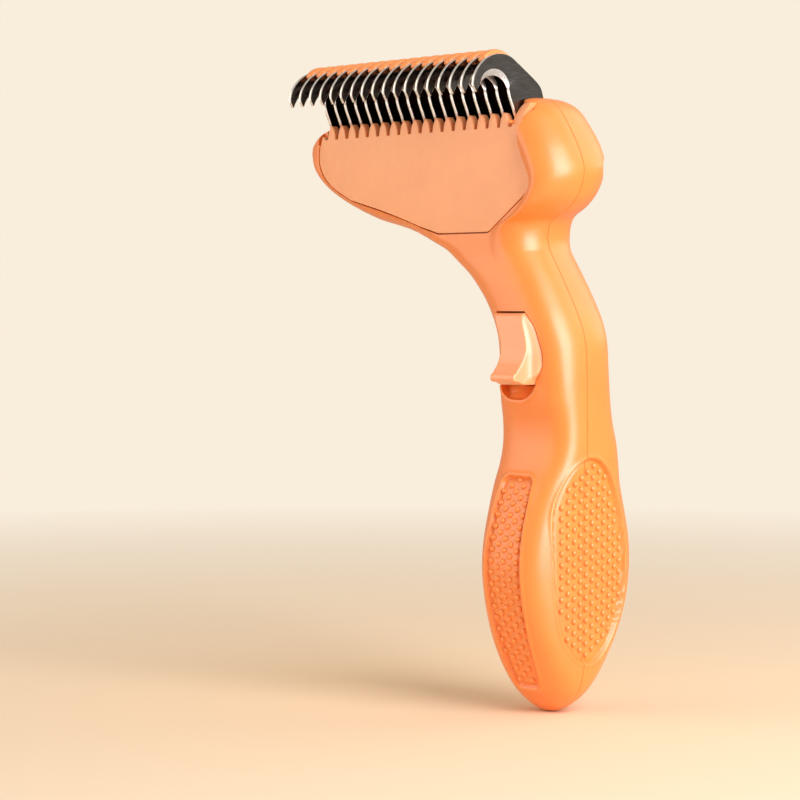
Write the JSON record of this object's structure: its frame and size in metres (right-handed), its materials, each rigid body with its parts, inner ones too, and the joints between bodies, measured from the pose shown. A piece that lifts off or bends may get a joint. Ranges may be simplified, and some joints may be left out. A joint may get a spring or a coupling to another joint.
{
  "type": "pet dematting comb",
  "caption": "Pet dematting comb: L-shaped two-shell handle with a row of hooked blades and a finger trigger that swings an ejector comb forward between the blades.",
  "frame": {"origin": "centre of the bounding box at its foot, level with the rounded end of the handle", "axes": "+Z from the foot of the handle up to the head; +X along the blade row towards the bulb over the handle, so the head reaches out to -X; the hooks and the trigger face -Y"},
  "size_m": [0.0966, 0.0448, 0.1656],
  "materials": {
    "shell": "satin moulded orange plastic with raised bumps on the grip pads",
    "face_plate": "matte light peach plastic",
    "trigger": "satin light peach plastic",
    "comb": "light orange plastic, softly shiny",
    "blade": "black polished stainless steel with bright ground edges",
    "carrier": "plain black plastic, hidden inside the head",
    "steel": "plain steel"
  },
  "bodies": {
    "handle": {"shell_front": "shell", "shell_back": "shell", "face_plate": "face_plate", "blade_01": "blade", "blade_02": "blade", "blade_03": "blade", "blade_04": "blade", "blade_05": "blade", "blade_06": "blade", "blade_07": "blade", "blade_08": "blade", "blade_09": "blade", "blade_10": "blade", "blade_11": "blade", "blade_12": "blade", "blade_13": "blade", "blade_14": "blade", "blade_15": "blade", "blade_16": "blade", "blade_17": "blade", "blade_18": "blade", "blade_carrier": "carrier", "blade_rod": "steel", "return_spring": "steel", "shell_screw_1": "steel", "shell_screw_2": "steel", "shell_screw_3": "steel", "shell_screw_4": "steel"},
    "comb": {"ejector_comb": "comb"},
    "trigger": {"trigger": "trigger"},
    "drive": {"drive_rod": "carrier"}
  },
  "joints": [
    {"name": "trigger_press", "type": "slide", "parent": "handle", "child": "trigger", "axis": [0, 1, 0], "range_m": [0, 0.0034]},
    {"name": "rod_slide", "type": "slide", "parent": "handle", "child": "drive", "axis": [0, 0, -1], "range_m": [0, 0.0034], "stiffness_N_per_m": 300, "springref_m": -0.004, "deforming": ["return_spring"]},
    {"name": "comb_swing", "type": "hinge", "parent": "handle", "child": "comb", "pos_m": [-0.00425, 0.00692, 0.144], "axis": [1, 0, 0], "range_deg": [0, 24]}
  ],
  "couplings": [
    {"joint": "rod_slide", "follows": "trigger_press", "ratio": 1},
    {"joint": "comb_swing", "follows": "trigger_press", "rad_per_m": 123.19}
  ]
}
